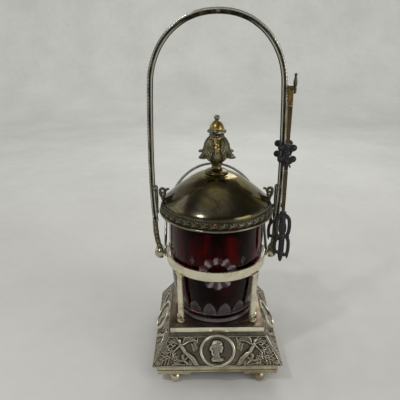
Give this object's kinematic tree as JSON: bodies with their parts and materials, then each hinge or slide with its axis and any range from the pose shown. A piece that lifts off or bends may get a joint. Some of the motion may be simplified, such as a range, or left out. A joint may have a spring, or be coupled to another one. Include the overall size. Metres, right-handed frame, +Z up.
{
  "type": "pickle castor",
  "caption": "Footed square silver-plated stand that holds a lidded cut glass pickle jar in a ring, with a swinging carrying bail, a rear hoop and tongs on a hook.",
  "frame": {"origin": "on the ground, under the middle of the overall bounding box", "axes": "+Z up along the jar's axis, +X towards the tongs, -Y towards the viewer, where the medallion faces front"},
  "size_m": [0.1256, 0.1284, 0.3116],
  "materials": {
    "pale_silver": "worn pale silver plate",
    "oxidised_pewter": "dark oxidised relief",
    "aged_silver": "aged silver plate with dark grooves",
    "bronzed_plate": "dark tarnished plate with a bronze cast",
    "gilt_metal": "worn gilt",
    "black_casting": "blackened casting",
    "ruby_glass": "polished cut ruby glass"
  },
  "bodies": {
    "stand": {"foot_front_left": "pale_silver", "foot_front_right": "pale_silver", "foot_back_left": "pale_silver", "foot_back_right": "pale_silver", "base_apron": "pale_silver", "base_pyramid": "oxidised_pewter", "base_platform": "pale_silver", "medallion_front": "aged_silver", "medallion_right": "aged_silver", "medallion_back": "aged_silver", "medallion_left": "aged_silver", "post_back_right": "pale_silver", "post_nut_back_right": "aged_silver", "post_back_left": "pale_silver", "post_nut_back_left": "aged_silver", "post_front_left": "pale_silver", "post_nut_front_left": "aged_silver", "post_front_right": "pale_silver", "post_nut_front_right": "aged_silver", "jar_ring": "pale_silver", "pivot_pin_right": "aged_silver", "pivot_pin_left": "aged_silver"},
    "jar": {"jar": "ruby_glass"},
    "lid": {"lid_dome": "bronzed_plate", "lid_band": "bronzed_plate", "lid_collar": "aged_silver", "lid_lug_right": "bronzed_plate", "lid_lug_left": "bronzed_plate", "finial_foot": "bronzed_plate", "finial_bud": "aged_silver", "finial_acorn": "gilt_metal", "finial_nut": "aged_silver", "finial_leaf_back_right": "aged_silver", "finial_leaf_back_left": "aged_silver", "finial_leaf_front_left": "aged_silver", "finial_leaf_front_right": "aged_silver"},
    "bail": {"bail_hoop": "aged_silver", "bail_leg_right": "aged_silver", "bail_leg_left": "aged_silver", "bail_rivet_right": "black_casting", "bail_rivet_left": "black_casting", "bail_scroll_right": "aged_silver", "bail_scroll_left": "aged_silver", "tong_hook": "aged_silver"},
    "rear_hoop": {"rear_hoop": "aged_silver"},
    "tongs": {"tong_bow": "gilt_metal"},
    "tong_front": {"tong_arm_front": "gilt_metal", "tong_cross_front": "black_casting", "tong_shaft_front": "gilt_metal", "tong_claw_front": "black_casting"},
    "tong_back": {"tong_arm_back": "gilt_metal", "tong_cross_back": "black_casting", "tong_shaft_back": "gilt_metal", "tong_claw_back": "black_casting"}
  },
  "joints": [
    {"name": "jar_lift", "type": "slide", "parent": "stand", "child": "jar", "axis": [0, 0, 1], "range_m": [0, 0.058]},
    {"name": "lid_lift", "type": "slide", "parent": "jar", "child": "lid", "axis": [0, 0, 1], "range_m": [0, 0.013]},
    {"name": "bail_swing", "type": "hinge", "parent": "stand", "child": "bail", "pos_m": [-0.00326, -0.00466, 0.1047], "axis": [1, 0, 0], "range_deg": [-80, 80]},
    {"name": "rear_hoop_swing", "type": "hinge", "parent": "stand", "child": "rear_hoop", "pos_m": [-0.00326, -0.00466, 0.1047], "axis": [-1, 0, 0], "range_deg": [-8, 80]},
    {"name": "tongs_unhook", "type": "slide", "parent": "bail", "child": "tongs", "axis": [0, 0, 1], "range_m": [0, 0.016]},
    {"name": "tong_front_squeeze", "type": "hinge", "parent": "tongs", "child": "tong_front", "pos_m": [0.05508, -0.01043, 0.23915], "axis": [1, 0, 0], "range_deg": [0, 4.2], "stiffness_Nm_per_rad": 5},
    {"name": "tong_back_squeeze", "type": "hinge", "parent": "tongs", "child": "tong_back", "pos_m": [0.05508, 0.00111, 0.23915], "axis": [1, 0, 0], "range_deg": [-4.2, 0], "stiffness_Nm_per_rad": 5}
  ],
  "couplings": [
    {"joint": "tong_back_squeeze", "follows": "tong_front_squeeze", "ratio": -1}
  ]
}
